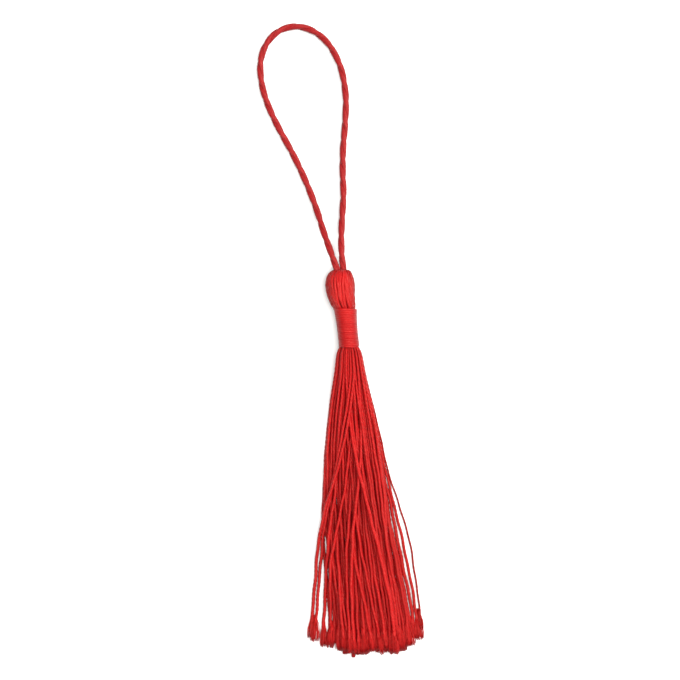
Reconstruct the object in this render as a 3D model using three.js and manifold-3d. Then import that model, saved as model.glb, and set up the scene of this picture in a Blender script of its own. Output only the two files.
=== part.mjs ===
// A small silky tassel with a twisted hanging loop, lying on its side. Millimetres, +Z up.
// It lies on the plane z = 0, with the crown towards +Y and the skirt fanned out towards -Y.
import * as THREE from "three";
import { mergeVertices } from "three/addons/utils/BufferGeometryUtils.js";
import Module from "manifold-3d";

const wasm = await Module();
wasm.setup();

// Driving dimensions
const CLEARANCE = 0.3; // between neighbouring pieces
const END_CLEARANCE = 0.52; // at the slanting ends of the binding
const NECK_TOP = { x: -4.32, y: 32.3, z: 2.7 }; // where the head meets the neck
const NECK_END = { x: -3.52, y: 24.5, z: 2.6 }; // where the skirt leaves the neck
const CORE_RADIUS = 1.1; // drawn-in floss under the binding
const BINDING_RADIUS = 2.14; // outside of the binding's turns, where the skirt leaves it
const BINDING_FLARE = 0.2; // how much wider it is where it meets the head
const BINDING_TURNS = 14;
const BINDING_SIDES = 20;
const BINDING_RIDGE = 0.16; // how far each turn stands out
const FLOSS_RIBS = 14; // folded floss lines round the head
const RIB_DEPTH = 0.14;
const ROOT_Y = 18.2; // strands start inside the backing here
const HEM_Y = -40.2; // lowest strand tip
const STATION_COUNT = 12; // sections along a strand
const STRAND_HALF = 0.25; // half of a strand's square section
const ROOT_HALF = 0.15; // the same at its root, where the floss is squeezed
const STRAND_PITCH = 0.82; // least distance between strands once they are free
const ROOT_PITCH = 0.5; // the same where they leave the backing
const FREE_BELOW = -14; // height on Y below which the strands lie at full pitch
const PILE_DEPTH = 2.2; // height through which free strands are stacked at first
const SEAT_SPREAD = { across: 0.93, up: 0.86 }; // how much of the backing's section the root seats fill
const SEAT_COLUMN = 8; // strands that share a column of root seats
const SCATTER_TOP = 0.8; // highest level that a scattered strand takes in the pile
const RAGGEDNESS = 1.7; // how much shorter than the hem line a strand may be
const WAVE_HEIGHT = 0.35; // how far a strand wanders to each side
const WAVE_LENGTH = 31;
const LOOSE_ROUNDS = 300; // rounds of settling in which strands sink, smooth and part
const FIRM_ROUNDS = 220; // rounds after that in which they only part
const PARTING_GAIN = 0.24;
const WISH_PULL = 0.03;
const SMOOTHING = 0.12;
const SINKING = 0.012; // drop in one round
const CORD_DIAMETER = 1.4;
const CORD_WAIST = 0.8; // across the groove between the two plies
const CORD_PITCH = 8; // one full turn of the two plies
const STEPS_PER_TURN = 12;
const CORD_SIDES = 8;

// Sections of head, drawn-in neck and backing, from the crown down
const BODY_SECTIONS = [
  { y: 40.2, x: -5.2, z: 2.7, halfWidth: 1.7, halfHeight: 1.6, rib: 0.3 },
  { y: 39.85, x: -5.28, z: 2.7, halfWidth: 2.2, halfHeight: 2.1, rib: 0.7 },
  { y: 39.2, x: -5.4, z: 2.7, halfWidth: 2.6, halfHeight: 2.55, rib: 1 },
  { y: 38.4, x: -5.43, z: 2.7, halfWidth: 2.88, halfHeight: 2.85, rib: 1 },
  { y: 37.3, x: -5.42, z: 2.7, halfWidth: 3.05, halfHeight: 3.0, rib: 1 },
  { y: 35.8, x: -5.3, z: 2.7, halfWidth: 2.97, halfHeight: 2.95, rib: 1 },
  { y: 34.3, x: -5.06, z: 2.7, halfWidth: 2.82, halfHeight: 2.75, rib: 1 },
  { y: 33.1, x: -4.75, z: 2.7, halfWidth: 2.55, halfHeight: 2.45, rib: 0.8 },
  { y: 32.5, x: -4.5, z: 2.7, halfWidth: 2.36, halfHeight: 2.25, rib: 0.4 },
  { ...NECK_TOP, halfWidth: CORE_RADIUS, halfHeight: CORE_RADIUS, rib: 0 },
  { ...NECK_END, halfWidth: CORE_RADIUS, halfHeight: CORE_RADIUS, rib: 0 },
  { y: 24.3, x: -3.55, z: 2.6, halfWidth: 2.35, halfHeight: 2.1, rib: 0.7 },
  { y: 22.4, x: -3.48, z: 2.55, halfWidth: 2.72, halfHeight: 2.4, rib: 1 },
  { y: 20.0, x: -3.38, z: 2.45, halfWidth: 3.15, halfHeight: 2.5, rib: 1 },
  { y: 17.6, x: -3.27, z: 2.35, halfWidth: 3.65, halfHeight: 2.4, rib: 1 },
  { y: 16.4, x: -3.22, z: 2.25, halfWidth: 3.7, halfHeight: 2.1, rib: 0.5 },
];

// Left and right edge of the fanned skirt
const SKIRT_OUTLINE = [
  { y: 22.5, left: -6.1, right: -0.6 },
  { y: 14.0, left: -7.4, right: 1.3 },
  { y: 5.5, left: -8.25, right: 2.8 },
  { y: -1.0, left: -8.7, right: 4.25 },
  { y: -7.2, left: -8.85, right: 5.6 },
  { y: -15.7, left: -10.1, right: 6.4 },
  { y: -20.0, left: -10.6, right: 7.0 },
  { y: -28.5, left: -11.35, right: 9.9 },
  { y: -34.0, left: -11.9, right: 11.7 },
  { y: -40.2, left: -12.4, right: 12.7 },
];

// Where the longest cut ends lie, by share of the width from the left edge (-1) to the right (1)
const HEM_LINE = [
  { share: -1.0, y: -37.5 },
  { share: -0.85, y: -38.0 },
  { share: -0.5, y: -38.9 },
  { share: -0.2, y: -40.2 },
  { share: 0.1, y: -39.5 },
  { share: 0.45, y: -39.8 },
  { share: 0.72, y: -39.3 },
  { share: 0.85, y: -38.2 },
  { share: 1.0, y: -36.4 },
];

// What a lock of strands does unless its row says otherwise: how far its roots lie to one side of
// its tips, the shares of the length between which it moves over, how far it swings out before that,
// its level in the pile from 0 to 1 (scattered if null), how far it bows out, and its thickness
const PLAIN_LOCK = { shift: 0, leaves: 0, lies: 0.8, swing: 0, level: null, bow: 0, thick: 1 };

// Locks of strands, by share of the width at the tips
const LOCKS = [
  { lock: "left edge", strands: 2, from: -1.04, to: -0.85, shift: 0.95, leaves: 0.05, lies: 0.5, level: 1 },
  { lock: "left cross", strands: 2, from: -0.78, to: -0.58, shift: 0.85, lies: 0.66, level: 0.95 },
  { lock: "returning", strands: 2, from: -0.65, to: -0.44, shift: -0.4, leaves: 0.4, lies: 0.7, swing: -0.3 },
  { lock: "left inner", strands: 9, from: -0.38, to: -0.24, shift: -0.5, leaves: 0.35, swing: -0.3 },
  { lock: "middle left", strands: 10, from: -0.27, to: -0.08, shift: -0.2 },
  { lock: "middle cross", strands: 3, from: -0.3, to: -0.12, shift: 0.6, leaves: 0.1, lies: 0.6, level: 0.9 },
  { lock: "middle", strands: 10, from: -0.08, to: 0.13 },
  { lock: "low cross", strands: 3, from: 0.2, to: 0.42, shift: -0.45, leaves: 0.4, lies: 1, level: 0.9 },
  { lock: "middle right", strands: 9, from: 0.15, to: 0.36 },
  { lock: "right cross", strands: 5, from: 0.4, to: 0.58, shift: -0.5, leaves: 0.1, lies: 0.7, level: 0.95 },
  { lock: "right inner", strands: 7, from: 0.38, to: 0.6, shift: 0.1 },
  { lock: "right return", strands: 3, from: 0.52, to: 0.68, shift: 0.4, leaves: 0.35, level: 0.8 },
  { lock: "right", strands: 5, from: 0.63, to: 0.83, shift: 0.05 },
  { lock: "right edge", strands: 2, from: 0.82, to: 0.92 },
  { lock: "right parted", strands: 1, from: 0.95, to: 0.95, level: 0.1, bow: 2.1 },
  { lock: "right stray", strands: 1, from: 1.0, to: 1.0, level: 0, bow: 3.9, thick: 0.6 },
];
const ROOT_SWAY = 0.9; // how far a strand's root strays from its lock's order, in shares
const BOW_FROM = -3; // a bowed strand leaves the edge here on Y
const BOW_TO = -34; // and comes back to it here

// Centre line of the hanging loop, out of the crown, round and back into it
const LOOP_ROUTE = [
  [-6.1, 40.65, 3.4], [-6.75, 42.4, 3.35], [-7.5, 44.5, 3.05], [-8.9, 48.5, 2.1], [-10.15, 52.6, 1.15],
  [-11.65, 56.7, 0.78], [-13.4, 60.8, 0.72], [-15.4, 64.9, 0.72], [-17.6, 68.9, 0.72], [-19.65, 73.0, 0.72],
  [-21.2, 77.1, 0.72], [-21.95, 81.2, 0.72], [-21.8, 84.6, 0.72], [-20.5, 87.8, 0.72], [-18.0, 90.2, 0.72],
  [-14.6, 91.1, 0.72], [-11.1, 90.2, 0.72], [-8.2, 87.9, 0.72], [-6.2, 84.8, 0.72], [-4.9, 81.2, 0.72],
  [-4.2, 76.2, 0.72], [-4.35, 71.0, 0.72], [-4.75, 66.0, 0.72], [-4.85, 61.0, 0.72], [-4.7, 56.2, 0.78],
  [-4.95, 51.6, 1.1], [-5.15, 47.2, 1.75], [-5.05, 43.4, 2.25], [-4.75, 40.65, 2.35],
];

// Value of one column of a table at a place along another, straight between its rows
function along(rows, key, at, column) {
  const rising = rows[1][key] > rows[0][key];
  const last = rows.length - 2;
  const found = rows.findIndex((row, i) => i > 0 && (rising ? at <= row[key] : at >= row[key]));
  const i = found < 0 ? last : found - 1;
  const share = (at - rows[i][key]) / (rows[i + 1][key] - rows[i][key]);
  return THREE.MathUtils.lerp(rows[i][column], rows[i + 1][column], share);
}

// Evenly scattered number from 0 to 1 for strand k
function scatter(k, start) {
  const goldenStep = (Math.sqrt(5) - 1) / 2;
  return (k * goldenStep + start) % 1;
}

// Closed skin through rings of points, each turning right-handed about the way the rings follow
function loft(rings) {
  const sides = rings[0].length;
  const points = rings.flat();
  const faces = [];
  for (let ring = 0; ring + 1 < rings.length; ring += 1) {
    for (let side = 0; side < sides; side += 1) {
      const a = ring * sides + side;
      const b = ring * sides + ((side + 1) % sides);
      faces.push(a, b, a + sides, b, b + sides, a + sides);
    }
  }
  const start = points.length;
  const end = start + 1;
  points.push(centreOf(rings[0]), centreOf(rings[rings.length - 1]));
  const lastRing = start - sides;
  for (let side = 0; side < sides; side += 1) {
    const next = (side + 1) % sides;
    faces.push(start, next, side, end, lastRing + side, lastRing + next);
  }
  const geometry = new THREE.BufferGeometry().setFromPoints(points);
  geometry.setIndex(faces);
  return geometry;
}

function centreOf(ring) {
  const sum = ring.reduce((total, point) => total.add(point), new THREE.Vector3());
  return sum.divideScalar(ring.length);
}

function solidOf(geometry) {
  const bare = geometry.clone();
  bare.deleteAttribute("normal");
  bare.deleteAttribute("uv");
  const merged = mergeVertices(bare);
  const vertProperties = new Float32Array(merged.attributes.position.array);
  const triVerts = new Uint32Array(merged.index.array);
  return new wasm.Manifold(new wasm.Mesh({ numProp: 3, vertProperties, triVerts }));
}

function geometryOf(solid) {
  const mesh = solid.getMesh();
  const geometry = new THREE.BufferGeometry();
  geometry.setAttribute("position", new THREE.BufferAttribute(mesh.vertProperties, mesh.numProp));
  geometry.setIndex(new THREE.BufferAttribute(mesh.triVerts, 1));
  geometry.computeVertexNormals();
  return geometry;
}

// Head, drawn-in neck and backing: ribbed sections, flat where they rest on the surface
function backing() {
  const sides = FLOSS_RIBS * 2;
  const rings = BODY_SECTIONS.map((section) => {
    const ring = [];
    for (let side = 0; side < sides; side += 1) {
      const angle = (side / sides) * 2 * Math.PI;
      const groove = side % 2 ? RIB_DEPTH * section.rib : 0;
      const x = section.x + (section.halfWidth - groove) * Math.cos(angle);
      const z = section.z + (section.halfHeight - groove) * Math.sin(angle);
      ring.push(new THREE.Vector3(x, section.y, Math.max(z, 0)));
    }
    return ring;
  });
  return loft(rings);
}

// Places on Y at which a strand has a section
function stations() {
  const step = (ROOT_Y - HEM_Y) / (STATION_COUNT - 1);
  return Array.from({ length: STATION_COUNT }, (_, i) => ROOT_Y - i * step);
}

// How free the floss is at a height: 0 at the root, 1 where it lies loose
function freedom(y) {
  return THREE.MathUtils.clamp((ROOT_Y - y) / (ROOT_Y - FREE_BELOW), 0, 1);
}

function halfSection(strand, y) {
  return THREE.MathUtils.lerp(ROOT_HALF, STRAND_HALF, freedom(y)) * strand.thick;
}

// Every strand's wishes: its lock, its share of the width at the tip, its depth and its tip
function listStrands() {
  const strands = [];
  for (const row of LOCKS) {
    const lock = { ...PLAIN_LOCK, ...row };
    for (let i = 0; i < lock.strands; i += 1) {
      const k = strands.length;
      const tipShare = THREE.MathUtils.lerp(lock.from, lock.to, (i + 0.5) / lock.strands);
      const rootShare = tipShare + lock.shift + ROOT_SWAY * (scatter(k, 0.8) - 0.5);
      const depth = lock.level ?? scatter(k, 0.2) * SCATTER_TOP;
      const shorter = RAGGEDNESS * Math.sqrt(scatter(k, 0.88)); // only a few reach the hem line
      const tipY = along(HEM_LINE, "share", tipShare, "y") + shorter;
      strands.push({ ...lock, k, tipShare, rootShare, depth, tipY });
    }
  }
  return strands;
}

// Seats spread evenly over the backing's section, in shares of its half width and half height
function rootSeats(count) {
  const goldenAngle = Math.PI * (3 - Math.sqrt(5));
  return Array.from({ length: count }, (_, i) => {
    const radius = Math.sqrt((i + 0.5) / count);
    const u = SEAT_SPREAD.across * radius * Math.cos(i * goldenAngle);
    return { u, v: SEAT_SPREAD.up * radius * Math.sin(i * goldenAngle) };
  });
}

// Seats the strands column by column, in the order in which they lie across the skirt
function seatStrands(strands) {
  const acrossStrands = [...strands].sort((a, b) => a.rootShare - b.rootShare);
  const acrossSeats = rootSeats(strands.length).sort((a, b) => a.u - b.u);
  for (let first = 0; first < strands.length; first += SEAT_COLUMN) {
    const column = acrossStrands.slice(first, first + SEAT_COLUMN).sort((a, b) => a.depth - b.depth);
    const seats = acrossSeats.slice(first, first + SEAT_COLUMN).sort((a, b) => a.v - b.v);
    column.forEach((strand, i) => {
      strand.seat = seats[i];
    });
  }
}

function bowAt(strand, y) {
  const share = THREE.MathUtils.clamp((BOW_FROM - y) / (BOW_FROM - BOW_TO), 0, 1);
  return strand.bow * Math.sin(Math.PI * share);
}

// The place that a strand would take at height y if no other lay in its way
function wishAt(strand, y) {
  const left = along(SKIRT_OUTLINE, "y", y, "left");
  const right = along(SKIRT_OUTLINE, "y", y, "right");
  const down = (ROOT_Y - y) / (ROOT_Y - HEM_Y);
  const way = THREE.MathUtils.smoothstep(down, strand.leaves, strand.lies);
  const swing = strand.swing * Math.sin(Math.PI * Math.min(1, down / strand.lies));
  const share = THREE.MathUtils.lerp(strand.seat.u, strand.tipShare, way) + swing;
  const wave = Math.sin(2 * Math.PI * (y / WAVE_LENGTH + scatter(strand.k, 0.4)));
  const half = halfSection(strand, y);
  const pile = half + PILE_DEPTH * strand.depth;
  const seatZ = along(BODY_SECTIONS, "y", ROOT_Y, "z");
  const seatHeight = seatZ + strand.seat.v * along(BODY_SECTIONS, "y", ROOT_Y, "halfHeight");
  return {
    x: (left + right) / 2 + (share * (right - left)) / 2 + bowAt(strand, y) + wave * WAVE_HEIGHT * way,
    z: THREE.MathUtils.lerp(seatHeight, pile, freedom(y)),
    low: left + half,
    high: right - half + bowAt(strand, y),
    floor: half,
  };
}

// Pushes that part every two points closer than the pitch, half of it from each side
function partings(points, pitch) {
  const pushes = points.map(() => ({ x: 0, z: 0 }));
  for (let a = 0; a < points.length; a += 1) {
    for (let b = a + 1; b < points.length; b += 1) {
      const dx = points[b].x - points[a].x;
      const dz = points[b].z - points[a].z;
      const apart = Math.max(Math.hypot(dx, dz), 1e-6);
      if (apart < pitch) {
        const push = (0.5 * (pitch - apart)) / apart;
        pushes[a].x -= push * dx;
        pushes[a].z -= push * dz;
        pushes[b].x += push * dx;
        pushes[b].z += push * dz;
      }
    }
  }
  return pushes;
}

// Lets the strands settle: apart from each other, on the surface, inside the outline and smooth
function settleSkirt(strands) {
  const heights = stations();
  const wishes = heights.map((y) => strands.map((strand) => wishAt(strand, y)));
  const places = wishes.map((row) => row.map(({ x, z }) => ({ x, z })));
  for (let round = 0; round < LOOSE_ROUNDS + FIRM_ROUNDS; round += 1) {
    const moves = places.map((row) => row.map(() => ({ x: 0, z: 0 })));
    partStretches(heights, places, moves);
    if (round < LOOSE_ROUNDS) {
      easeStrands(wishes, places, moves);
    }
    for (let i = 1; i < heights.length; i += 1) {
      places[i].forEach((place, k) => {
        const { low, high, floor } = wishes[i][k];
        place.x = THREE.MathUtils.clamp(place.x + moves[i][k].x, low, high);
        place.z = Math.max(place.z + moves[i][k].z, floor);
      });
    }
  }
  return places;
}

// Parts the strands at each station and at places along the stretch above it
function partStretches(heights, places, moves) {
  const { lerp } = THREE.MathUtils;
  for (let i = 1; i < heights.length; i += 1) {
    for (const share of [0.25, 0.5, 0.75, 1]) {
      const y = lerp(heights[i - 1], heights[i], share);
      const points = places[i].map((place, k) => ({
        x: lerp(places[i - 1][k].x, place.x, share),
        z: lerp(places[i - 1][k].z, place.z, share),
      }));
      const pushes = partings(points, lerp(ROOT_PITCH, STRAND_PITCH, freedom(y)));
      pushes.forEach((push, k) => {
        moves[i][k].x += PARTING_GAIN * share * push.x;
        moves[i][k].z += PARTING_GAIN * share * push.z;
        moves[i - 1][k].x += PARTING_GAIN * (1 - share) * push.x;
        moves[i - 1][k].z += PARTING_GAIN * (1 - share) * push.z;
      });
    }
  }
}

// Draws each strand towards its wished line, smooths it and lets it sink
function easeStrands(wishes, places, moves) {
  for (let i = 1; i < places.length; i += 1) {
    places[i].forEach((place, k) => {
      const above = places[i - 1][k];
      const below = places[i + 1]?.[k] ?? place;
      moves[i][k].x += WISH_PULL * (wishes[i][k].x - place.x);
      moves[i][k].x += SMOOTHING * ((above.x + below.x) / 2 - place.x);
      moves[i][k].z += SMOOTHING * ((above.z + below.z) / 2 - place.z) - SINKING;
    });
  }
}

// Square sections of one strand down to its own tip
function strandSolid(strand, places) {
  const heights = stations();
  const rings = [];
  for (let i = 0; i < heights.length; i += 1) {
    const ends = heights[i] <= strand.tipY;
    const share = ends ? (heights[i - 1] - strand.tipY) / (heights[i - 1] - heights[i]) : 0;
    const y = ends ? strand.tipY : heights[i];
    const here = places[i][strand.k];
    const above = ends ? places[i - 1][strand.k] : here;
    const x = ends ? THREE.MathUtils.lerp(above.x, here.x, share) : here.x;
    const z = ends ? THREE.MathUtils.lerp(above.z, here.z, share) : here.z;
    const half = halfSection(strand, y);
    rings.push(squareRing(x, y, z, half));
    if (ends) {
      break;
    }
  }
  return solidOf(loft(rings));
}

function squareRing(x, y, z, half) {
  const corners = [[1, -1], [1, 1], [-1, 1], [-1, -1]];
  return corners.map(([right, up]) => new THREE.Vector3(x + right * half, y, z + up * half));
}

// Folded head and backing with the strands fused in at their roots
function flossGeometry() {
  const strands = listStrands();
  seatStrands(strands);
  const places = settleSkirt(strands);
  let solid = solidOf(backing());
  for (const strand of strands) {
    solid = solid.add(strandSolid(strand, places));
  }
  return geometryOf(solid);
}

// Sleeve of thread wound round the drawn-in neck, a low ridge for each turn
function bindingGeometry(length) {
  const inner = (CORE_RADIUS + CLEARANCE) / Math.cos(Math.PI / BINDING_SIDES);
  const outside = (share) => BINDING_RADIUS + BINDING_FLARE * share ** 2;
  const profile = [new THREE.Vector2(inner, 0), new THREE.Vector2(outside(0) - BINDING_RIDGE, 0)];
  for (let turn = 0; turn < BINDING_TURNS; turn += 1) {
    const crest = (turn + 0.5) / BINDING_TURNS;
    const valley = (turn + 1) / BINDING_TURNS;
    profile.push(new THREE.Vector2(outside(crest), crest * length));
    profile.push(new THREE.Vector2(outside(valley) - BINDING_RIDGE, valley * length));
  }
  profile.push(new THREE.Vector2(inner, length), new THREE.Vector2(inner, 0));
  return new THREE.LatheGeometry(profile, BINDING_SIDES);
}

// Two-ply cord: a two-lobed section that turns as it goes along the route
function loopGeometry() {
  const route = new THREE.CatmullRomCurve3(LOOP_ROUTE.map((point) => new THREE.Vector3(...point)));
  const length = route.getLength();
  const steps = Math.round((length / CORD_PITCH) * STEPS_PER_TURN);
  const centres = route.getSpacedPoints(steps);
  const frames = route.computeFrenetFrames(steps);
  const mean = (CORD_DIAMETER + CORD_WAIST) / 4;
  const swing = (CORD_DIAMETER - CORD_WAIST) / 4;
  const rings = centres.map((centre, i) => {
    const twist = (-2 * Math.PI * i * length) / steps / CORD_PITCH;
    const ring = [];
    for (let side = 0; side < CORD_SIDES; side += 1) {
      const angle = (side / CORD_SIDES) * 2 * Math.PI;
      const radius = mean + swing * Math.cos(2 * angle);
      const point = centre.clone();
      point.addScaledVector(frames.normals[i], radius * Math.cos(angle + twist));
      point.addScaledVector(frames.binormals[i], radius * Math.sin(angle + twist));
      ring.push(point);
    }
    return ring;
  });
  return loft(rings);
}

function silk(color, roughness) {
  return new THREE.MeshStandardMaterial({ color, roughness, metalness: 0 });
}

function named(name, geometry, material) {
  const mesh = new THREE.Mesh(geometry, material);
  mesh.name = name;
  return mesh;
}

// The binding sits on the slanting neck, clear of head and skirt at its two ends
function neckBinding() {
  const from = new THREE.Vector3(NECK_END.x, NECK_END.y, NECK_END.z);
  const to = new THREE.Vector3(NECK_TOP.x, NECK_TOP.y, NECK_TOP.z);
  const axis = to.clone().sub(from);
  const length = axis.length() - 2 * END_CLEARANCE;
  axis.normalize();
  const mesh = named("neck_binding", bindingGeometry(length), silk("#d2201f", 0.4));
  mesh.position.copy(from).addScaledVector(axis, END_CLEARANCE);
  mesh.quaternion.setFromUnitVectors(new THREE.Vector3(0, 1, 0), axis);
  return mesh;
}

const tassel = new THREE.Group();
tassel.name = "tassel";
tassel.add(named("floss", flossGeometry(), silk("#c8191a", 0.45)));
tassel.add(neckBinding());
tassel.add(named("hanging_loop", loopGeometry(), silk("#cc1d1d", 0.5)));

export default tassel;
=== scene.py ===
"""Looks of a small silky tassel with a twisted hanging loop, built round its solids.

Every piece is in metres, in the frame of the solids: the tassel lies on z = 0, with its crown
towards +Y and its skirt fanned out towards -Y.
"""
import math

import bpy
import numpy as np
from bpy.props import FloatProperty, FloatVectorProperty, IntProperty, PointerProperty
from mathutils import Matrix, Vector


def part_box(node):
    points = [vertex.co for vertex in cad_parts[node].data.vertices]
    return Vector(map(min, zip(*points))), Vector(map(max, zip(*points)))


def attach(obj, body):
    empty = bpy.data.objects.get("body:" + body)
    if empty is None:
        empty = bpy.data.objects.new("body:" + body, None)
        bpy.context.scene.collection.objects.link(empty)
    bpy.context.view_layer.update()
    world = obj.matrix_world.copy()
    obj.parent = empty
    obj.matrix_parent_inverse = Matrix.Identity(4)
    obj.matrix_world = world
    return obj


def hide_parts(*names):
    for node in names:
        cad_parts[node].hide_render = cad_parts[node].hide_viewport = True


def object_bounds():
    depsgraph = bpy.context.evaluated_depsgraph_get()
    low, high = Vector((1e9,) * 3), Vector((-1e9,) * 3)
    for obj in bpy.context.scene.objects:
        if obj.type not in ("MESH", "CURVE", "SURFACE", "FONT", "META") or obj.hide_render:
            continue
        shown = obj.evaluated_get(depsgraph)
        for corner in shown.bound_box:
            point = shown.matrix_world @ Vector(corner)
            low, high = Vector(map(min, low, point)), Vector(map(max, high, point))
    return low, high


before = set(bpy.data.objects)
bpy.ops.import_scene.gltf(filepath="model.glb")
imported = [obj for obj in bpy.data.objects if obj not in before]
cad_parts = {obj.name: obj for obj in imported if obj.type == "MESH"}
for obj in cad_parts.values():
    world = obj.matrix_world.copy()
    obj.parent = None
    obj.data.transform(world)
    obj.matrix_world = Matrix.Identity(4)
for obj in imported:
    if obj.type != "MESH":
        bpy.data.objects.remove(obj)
CAD_BOX = [list(corner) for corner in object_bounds()]

bl_info = {
    "name": "Silky tassel",
    "version": (1, 0, 0),
    "blender": (4, 5, 0),
    "location": "3D View > Sidebar > Tassel",
    "description": "Makes a small tassel of twisted floss with a thread binding and a cord loop",
    "category": "Add Mesh",
}

MM = 0.001
SEED = 11
YARN_UV = "yarn"
# Name of the attribute that holds each point's tone: the floss's own, with painted light and painted shade
# laid on it
TONE = "tone"

# Centre line of the hanging loop, out of the crown, round and back into it
LOOP_ROUTE = [
    (-0.0061, 0.04065, 0.0034), (-0.00675, 0.0424, 0.00335), (-0.0075, 0.0445, 0.00305),
    (-0.0089, 0.0485, 0.0021), (-0.01015, 0.0526, 0.00115), (-0.01165, 0.0567, 0.00078),
    (-0.0134, 0.0608, 0.00072), (-0.0154, 0.0649, 0.00072), (-0.0176, 0.0689, 0.00072),
    (-0.01965, 0.073, 0.00072), (-0.0212, 0.0771, 0.00072), (-0.02195, 0.0812, 0.00072),
    (-0.0218, 0.0846, 0.00072), (-0.0205, 0.0878, 0.00072), (-0.018, 0.0902, 0.00072),
    (-0.0146, 0.0911, 0.00072), (-0.0111, 0.0902, 0.00072), (-0.0082, 0.0879, 0.00072),
    (-0.0062, 0.0848, 0.00072), (-0.0049, 0.0812, 0.00072), (-0.0042, 0.0762, 0.00072),
    (-0.00435, 0.071, 0.00072), (-0.00475, 0.066, 0.00072), (-0.00485, 0.061, 0.00072),
    (-0.0047, 0.0562, 0.00078), (-0.00495, 0.0516, 0.0011), (-0.00515, 0.0472, 0.00175),
    (-0.00505, 0.0434, 0.00225), (-0.00475, 0.04065, 0.00235),
]
# Where the two ends of the loop are held, inside the crown
LOOP_START = (-0.0056, 0.0394, 0.0031)
LOOP_END = (-0.00485, 0.0394, 0.0025)


def linear(hex_colour):
    """Linear colour with alpha of an sRGB hex value."""
    shares = [int(hex_colour[i : i + 2], 16) / 255 for i in (1, 3, 5)]
    return [c / 12.92 if c <= 0.04045 else ((c + 0.055) / 1.055) ** 2.4 for c in shares] + [1.0]


def length_property(name, description, millimetres):
    """A property that holds a length, with its default in millimetres."""
    return FloatProperty(
        name=name, description=description, default=millimetres * MM, min=0, unit="LENGTH", precision=5
    )


def colour_property(name, description, hex_colour):
    """A property that holds a colour, with its default as an sRGB hex value."""
    return FloatVectorProperty(
        name=name, description=description, default=linear(hex_colour), min=0, max=1, size=4, subtype="COLOR"
    )


class TasselSkirtSettings(bpy.types.PropertyGroup):
    """Sizes and colours of the twisted floss of skirt and head"""

    fullness: FloatProperty(
        name="Fullness",
        description="Radius of a loose yarn as a share of its solid's half side",
        default=1.44,
        min=1,
        max=2.5,
    )
    relief: FloatProperty(
        name="Relief",
        description="How far a ply's middle stands off the yarn's middle, as a share of the radius",
        default=0.17,
        min=0.1,
        max=0.5,
    )
    pitch: length_property("Twist pitch", "Length of one full turn of the two plies", 1.9)
    step: length_property("Step", "Distance between two rings of a ply", 0.24)
    wave: length_property("Wave", "How far a loose strand wanders to each side", 0.18)
    ripple: length_property("Ripple", "Height of the small kinks along a strand", 0.05)
    ragged: length_property("Raggedness", "How far cut ends stray from their solids'", 0.15)
    fray: length_property("Fray", "Length over which a cut end opens out", 4.5)
    fibres: IntProperty(name="Fibres", description="Loose fibres at each cut end", default=34, min=0)
    fibre: length_property("Fibre length", "How much the fibres of a cut end differ in length", 0.5)
    # The tone that mixes these two holds painted light on the tops and painted shade in the pile, besides
    # each strand's own tone
    deep: colour_property("Deep colour", "Colour of the darkest strands", "#5c0306")
    bright: colour_property("Bright colour", "Colour of the lightest strands", "#b01416")


class TasselHeadSettings(bpy.types.PropertyGroup):
    """Sizes of the folded head"""

    yarns: IntProperty(name="Yarns", description="Folded yarns seen round the head", default=32, min=8)
    overlap: FloatProperty(
        name="Overlap", description="Width of a yarn as a share of its place", default=1.35, min=1, max=2
    )
    pitch: length_property("Twist pitch", "Length of one full turn of the two plies", 8.0)
    relief: FloatProperty(
        name="Relief",
        description="How far a ply's middle stands off the yarn's middle, as a share of the radius",
        default=0.3,
        min=0.1,
        max=0.5,
    )
    lean: FloatProperty(
        name="Lean",
        description="How far round a yarn strays between neck and crown",
        default=math.radians(7),
        subtype="ANGLE",
    )


class TasselBindingSettings(bpy.types.PropertyGroup):
    """Sizes and colours of the thread wound round the neck"""

    turns: IntProperty(name="Turns", description="Turns of thread round the neck", default=21, min=2)
    thread: length_property("Thread", "Diameter of the thread", 0.42)
    unevenness: length_property("Unevenness", "How far a turn strays from its place", 0.03)
    # The thread's tone that mixes these two holds painted shade towards the floor, besides the own tones of
    # filaments and turns
    deep: colour_property("Deep colour", "Colour of the thread's darker filaments", "#500406")
    bright: colour_property("Bright colour", "Colour of the thread's lighter filaments", "#b41719")


class TasselLoopSettings(bpy.types.PropertyGroup):
    """Sizes and colours of the hanging loop"""

    diameter: length_property("Diameter", "Diameter of the two-ply cord", 1.4)
    pitch: length_property("Twist pitch", "Length of one full turn of the two plies", 8.0)
    steps: IntProperty(name="Steps", description="Rings in one turn of a ply", default=34, min=6)
    relief: FloatProperty(
        name="Relief",
        description="How far a ply's middle stands off the cord's middle, as a share of the radius",
        default=0.36,
        min=0.1,
        max=0.5,
    )
    # The cord's tone that mixes these two holds painted light on top of each ply and painted shade under it,
    # besides the filaments' own tones
    deep: colour_property("Deep colour", "Colour of the cord's darker filaments", "#5a080c")
    bright: colour_property("Bright colour", "Colour of the cord's lighter filaments", "#b81e24")


class TasselStageSettings(bpy.types.PropertyGroup):
    """Camera, floor and light"""

    lens: FloatProperty(name="Lens", description="Focal length of the camera in millimetres", default=85)
    fill: FloatProperty(
        name="Fill",
        description="Share of the picture's height that the part takes",
        default=0.93,
        subtype="FACTOR",
    )
    floor: colour_property("Floor", "Colour of the floor", "#f6f6f4")
    key: FloatProperty(name="Key light", description="Power of the main light", default=7.9, unit="POWER")
    filler: FloatProperty(
        name="Fill light", description="Power of the overhead light", default=9.4, unit="POWER"
    )
    air: FloatProperty(name="Air", description="Strength of the light from all round", default=0.2)


# Measuring the solids

MERGE = 0.0005 * MM  # grid on which corners that lie together are merged
STRANDS_BELOW = 16.2 * MM  # below this on Y every strand of the solid stands alone
ROOT_Y = 18.2 * MM  # where the solid's strands start inside its backing
STRAND_SLICES = 26


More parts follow.
